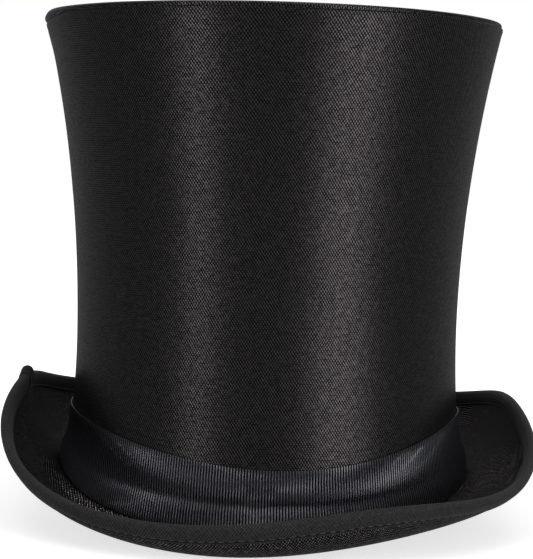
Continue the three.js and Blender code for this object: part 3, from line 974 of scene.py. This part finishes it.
def make_hat():
    side = finish_piece(make_side_cover(), satin, "satin", "crown_side_cover")
    tip = finish_piece(make_tip_cover(), satin, "satin", "crown_tip_cover")
    upper = finish_piece(make_brim_cover("brim_upper_satin", 1), brim_satin_painted_glints, "satin", "brim_upper_cover")
    under = finish_piece(make_brim_cover("brim_under_satin", -1), brim_satin_painted_glints, "satin", "brim_under_cover")
    bound = finish_piece(make_binding(), binding_cloth, "binding_cloth", "brim_binding")
    finish_piece(make_binding_join(), binding_cloth, "binding_cloth", "brim_binding_join")
    band = finish_piece(make_band(), grosgrain, "grosgrain", "hat_band")
    finish_piece(make_band_lap(), grosgrain, "grosgrain", "hat_band_lap")
    lining = finish_piece(make_side_lining(), lining_cloth, "lining", "crown_side_lining")
    tip_lining = finish_piece(make_tip_lining(), lining_cloth, "lining", "crown_tip_lining")
    sweat = finish_piece(make_sweatband(), sweat_cloth, "sweatband_cloth", "sweatband")
    finish_piece(make_sweatband_patch(), binding_cloth, "binding_cloth", "sweatband_join_tape")
    finish_piece(make_reed(), reed_plastic, "reed", "sweatband_reed")
    upper_row = make_binding_stitches("binding_stitches_upper", 1)
    finish_piece(upper_row, thread, "thread", "binding_thread_upper")
    under_row = make_binding_stitches("binding_stitches_under", -1)
    finish_piece(under_row, thread, "thread", "binding_thread_under")
    finish_piece(make_sweatband_stitches(), thread, "thread", "sweatband_thread")
    finish_piece(make_tip_stitches(), thread, "thread", "tip_seam_thread")
    finish_piece(make_band_tack(), thread, "thread", "hat_band_tack")


def dress_hidden_parts():
    """The stiff parts between the layers keep their CAD shape."""
    looks = {"crown_side_stiffener": buckram, "brim_collar": buckram, "brim_core": buckram,
             "crown_tip_stiffener": tip_board, "brim_edge_wire": wire}
    for name, look in looks.items():
        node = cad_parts[name]
        node.data.materials.clear()
        node.data.materials.append(look)


# ---- camera, floor and light -----------------------------------------------------------
CAMERA_AZIMUTH = math.radians(4.06)
CAMERA_PITCH = math.radians(3.67)
CAMERA_ROLL = math.radians(1.57)
CAMERA_DISTANCE = 900  # mm
AIM_HEIGHT = 83.0  # mm up the hat that the camera looks at
AIM_ASIDE = -0.94  # and mm to the camera's right
LENS = 126.35
FLOOR_NEAR, FLOOR_FAR = 0.15, 0.45  # metres from the hat, between which the floor turns white
FLOOR_LEVEL = -0.0001  # in metres: just under the lowest point of the cloth
FLOOR_GLOW = 0.7  # how strongly the floor glows near the hat, where it keeps the shadow
FLOOR_HALF = 6  # metres
HALL_FRONT, HALL_BACK = 0.215, 0.2  # strength of the studio's light before and behind the hat
# Each softbox: azimuth and elevation in degrees, distance, width and height in metres, and watts.
SOFTBOXES = {
    "left_box": (-37, -22, 1.6, 0.32, 1.3, 3.0),
    "right_box": (53, -8, 1.6, 0.85, 1.7, 7.9),
    "top_box": (20, 80, 1.7, 2.2, 2.2, 14),
    "left_high_box": (-32, 24, 1.6, 0.3, 0.6, 1.9),
    "right_high_box": (39, 27, 1.6, 0.5, 0.5, 1.8),
    "back_box": (172, 31, 1.7, 1.3, 0.4, 0.45),
}
SOFTBOX_TARGET = Vector((0, 0, 0.12))


def make_camera():
    """The camera stands a little above the hat's middle and is slightly rolled."""
    right = Vector((math.cos(CAMERA_AZIMUTH), math.sin(CAMERA_AZIMUTH), 0))
    level = Vector((-math.sin(CAMERA_AZIMUTH), math.cos(CAMERA_AZIMUTH), 0))
    ahead = level * math.cos(CAMERA_PITCH) - Vector((0, 0, math.sin(CAMERA_PITCH)))
    up = right.cross(ahead)
    rolled_right = right * math.cos(CAMERA_ROLL) + up * math.sin(CAMERA_ROLL)
    rolled_up = up * math.cos(CAMERA_ROLL) - right * math.sin(CAMERA_ROLL)
    aim = Vector(ORIGIN) + (Vector((0, 0, AIM_HEIGHT)) + right * AIM_ASIDE) * MM
    data = bpy.data.cameras.new("camera")
    data.lens, data.sensor_width = LENS, 36
    data.clip_start, data.clip_end = 0.01, 50
    camera = bpy.data.objects.new("camera", data)
    turn = Matrix((rolled_right, rolled_up, -ahead)).transposed()
    camera.matrix_world = Matrix.Translation(aim - ahead * CAMERA_DISTANCE * MM) @ turn.to_4x4()
    bpy.context.scene.collection.objects.link(camera)
    bpy.context.scene.camera = camera


def make_floor():
    """A pale floor that glows, though it is no lamp. Its glow is weaker near the hat, a painted shade
    around it besides the hat's own shadow, and rises to plain white away from it. It takes the hat's
    shadow, but neither throws light back at the hat nor stands in the way of the lights."""
    mesh = bpy.data.meshes.new("floor")
    corners = [(-1, -1), (1, -1), (1, 1), (-1, 1)]
    points = [(x * FLOOR_HALF, y * FLOOR_HALF, FLOOR_LEVEL) for x, y in corners]
    mesh.from_pydata(points, [], [(0, 1, 2, 3)])
    floor = bpy.data.objects.new("floor", mesh)
    bpy.context.scene.collection.objects.link(floor)
    look = Look("floor", {"Specular IOR Level": 0.1, "Roughness": 0.9})
    look.color(look.blend(look.noise(3, 3), (0.80, 0.80, 0.80), (0.83, 0.83, 0.83)))
    place = look.node("ShaderNodeTexCoord")
    away = look.node("ShaderNodeVectorMath", operation="LENGTH")
    look.put(away.inputs[0], place.outputs["Object"])
    look.shader.inputs["Emission Color"].default_value = (1, 1, 1, 1)
    # Painted light: the floor's glow, weaker near the hat as painted shade around it and full white
    # further away.
    glow = look.between(away.outputs["Value"], FLOOR_NEAR, FLOOR_FAR, FLOOR_GLOW, 1.0)
    look.put(look.shader.inputs["Emission Strength"], glow)
    mesh.materials.append(look.material)
    floor.visible_glossy = floor.visible_diffuse = floor.visible_shadow = False


def softbox(name, azimuth, elevation, distance, width, height, power):
    """A panel of light that faces the crown. The azimuth is counted like the camera's."""
    a, e = math.radians(azimuth), math.radians(elevation)
    away = Vector((math.sin(a) * math.cos(e), -math.cos(a) * math.cos(e), math.sin(e)))
    data = bpy.data.lights.new(name, "AREA")
    data.shape, data.size, data.size_y = "RECTANGLE", width, height
    data.energy = power
    light = bpy.data.objects.new(name, data)
    light.location = SOFTBOX_TARGET + away * distance
    light.rotation_euler = away.to_track_quat("Z", "Y").to_euler()
    light.visible_camera = False
    bpy.context.scene.collection.objects.link(light)


def make_world():
    """A dim, nearly even studio around the hat, and plain white as a backdrop."""
    world = bpy.data.worlds.new("studio")
    bpy.context.scene.world = world
    world.use_nodes = True
    tree = world.node_tree
    tree.nodes.clear()
    output = tree.nodes.new("ShaderNodeOutputWorld")
    mixed = tree.nodes.new("ShaderNodeMixShader")
    seen, lit = tree.nodes.new("ShaderNodeBackground"), tree.nodes.new("ShaderNodeBackground")
    seen.inputs["Color"].default_value = (1, 1, 1, 1)
    place, split = tree.nodes.new("ShaderNodeTexCoord"), tree.nodes.new("ShaderNodeSeparateXYZ")
    depth = tree.nodes.new("ShaderNodeMapRange")
    path = tree.nodes.new("ShaderNodeLightPath")
    for socket, value in zip(depth.inputs[1:5], (-0.5, 0.3, HALL_FRONT, HALL_BACK)):
        socket.default_value = value
    tree.links.new(place.outputs["Generated"], split.inputs[0])
    tree.links.new(split.outputs["Y"], depth.inputs["Value"])
    tree.links.new(depth.outputs[0], lit.inputs["Strength"])
    lit.inputs["Color"].default_value = (0.97, 1.0, 0.98, 1)
    tree.links.new(path.outputs["Is Camera Ray"], mixed.inputs[0])
    tree.links.new(lit.outputs[0], mixed.inputs[1])
    tree.links.new(seen.outputs[0], mixed.inputs[2])
    tree.links.new(mixed.outputs[0], output.inputs["Surface"])


def make_studio():
    for name, settings in SOFTBOXES.items():
        softbox(name, *settings)
    make_world()
    bpy.context.scene.view_settings.view_transform = "Standard"


make_hat()
dress_hidden_parts()
make_camera()
make_floor()
make_studio()
